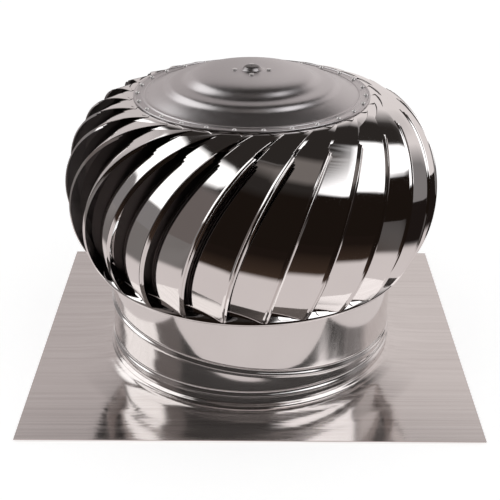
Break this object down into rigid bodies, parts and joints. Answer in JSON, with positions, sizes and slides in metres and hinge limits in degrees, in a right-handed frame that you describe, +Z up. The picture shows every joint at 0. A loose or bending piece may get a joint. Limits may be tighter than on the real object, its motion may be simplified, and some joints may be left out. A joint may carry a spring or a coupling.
{
  "type": "roof turbine ventilator",
  "caption": "Wind-driven roof turbine ventilator: mirror-bright bent vanes between a spun cap and a ring, on a throat of swivelling collars with a square-cornered flashing plate.",
  "frame": {"origin": "middle of the flashing plate's underside", "axes": "+Z up along the rotor's axis, +X along the plate's longer side, -Y towards the plate's front edge"},
  "size_m": [0.45, 0.4, 0.3077],
  "materials": {
    "vane_sheet": "mirror-polished stainless sheet",
    "plate_sheet": "satin stainless sheet, grain along the front edge",
    "throat_sheet": "bright rolled stainless sheet",
    "cap_sheet": "spun stainless sheet, satin",
    "ring_sheet": "rolled stainless sheet",
    "strip_steel": "galvanised strip",
    "rivet_metal": "bright blind rivets",
    "plated_steel": "zinc-plated steel",
    "bearing_steel": "ground bearing steel"
  },
  "bodies": {
    "base": {"flashing_plate": "plate_sheet", "base_collar": "throat_sheet"},
    "wedge": {"wedge_collar": "throat_sheet"},
    "head": {"head_collar": "throat_sheet", "throat_spider": "strip_steel", "spider_rivets": "rivet_metal", "centre_shaft": "plated_steel", "shaft_nuts": "plated_steel", "shaft_washers": "plated_steel", "upper_stop_collar": "plated_steel", "lower_stop_collar": "plated_steel", "upper_inner_race": "bearing_steel", "lower_inner_race": "bearing_steel"},
    "rotor": {"top_cap": "cap_sheet", "cap_rivets": "rivet_metal", "cap_hub_rivets": "rivet_metal", "upper_bearing_cup": "strip_steel", "upper_outer_race": "bearing_steel", "lower_outer_race": "bearing_steel", "lower_bearing_cup": "strip_steel", "rotor_spider": "strip_steel", "rotor_spider_rivets": "rivet_metal", "spider_hub_rivets": "rivet_metal", "lower_ring": "ring_sheet", "ring_rivets": "rivet_metal", "vane_01": "vane_sheet", "vane_02": "vane_sheet", "vane_03": "vane_sheet", "vane_04": "vane_sheet", "vane_05": "vane_sheet", "vane_06": "vane_sheet", "vane_07": "vane_sheet", "vane_08": "vane_sheet", "vane_09": "vane_sheet", "vane_10": "vane_sheet", "vane_11": "vane_sheet", "vane_12": "vane_sheet", "vane_13": "vane_sheet", "vane_14": "vane_sheet", "vane_15": "vane_sheet", "vane_16": "vane_sheet", "vane_17": "vane_sheet", "vane_18": "vane_sheet", "vane_19": "vane_sheet", "vane_20": "vane_sheet", "vane_21": "vane_sheet", "vane_22": "vane_sheet", "vane_23": "vane_sheet", "vane_24": "vane_sheet", "vane_25": "vane_sheet", "vane_26": "vane_sheet", "vane_27": "vane_sheet"}
  },
  "joints": [
    {"name": "base_swivel", "type": "hinge", "parent": "base", "child": "wedge", "pos_m": [0, 0, 0.0175], "axis": [0, 0, 1], "continuous": true},
    {"name": "pitch_swivel", "type": "hinge", "parent": "wedge", "child": "head", "pos_m": [0, 0, 0.044], "axis": [0.1045, 0, 0.9945], "continuous": true},
    {"name": "rotor_spin", "type": "hinge", "parent": "head", "child": "rotor", "pos_m": [0, 0, 0.2], "axis": [0, 0, 1], "continuous": true}
  ]
}
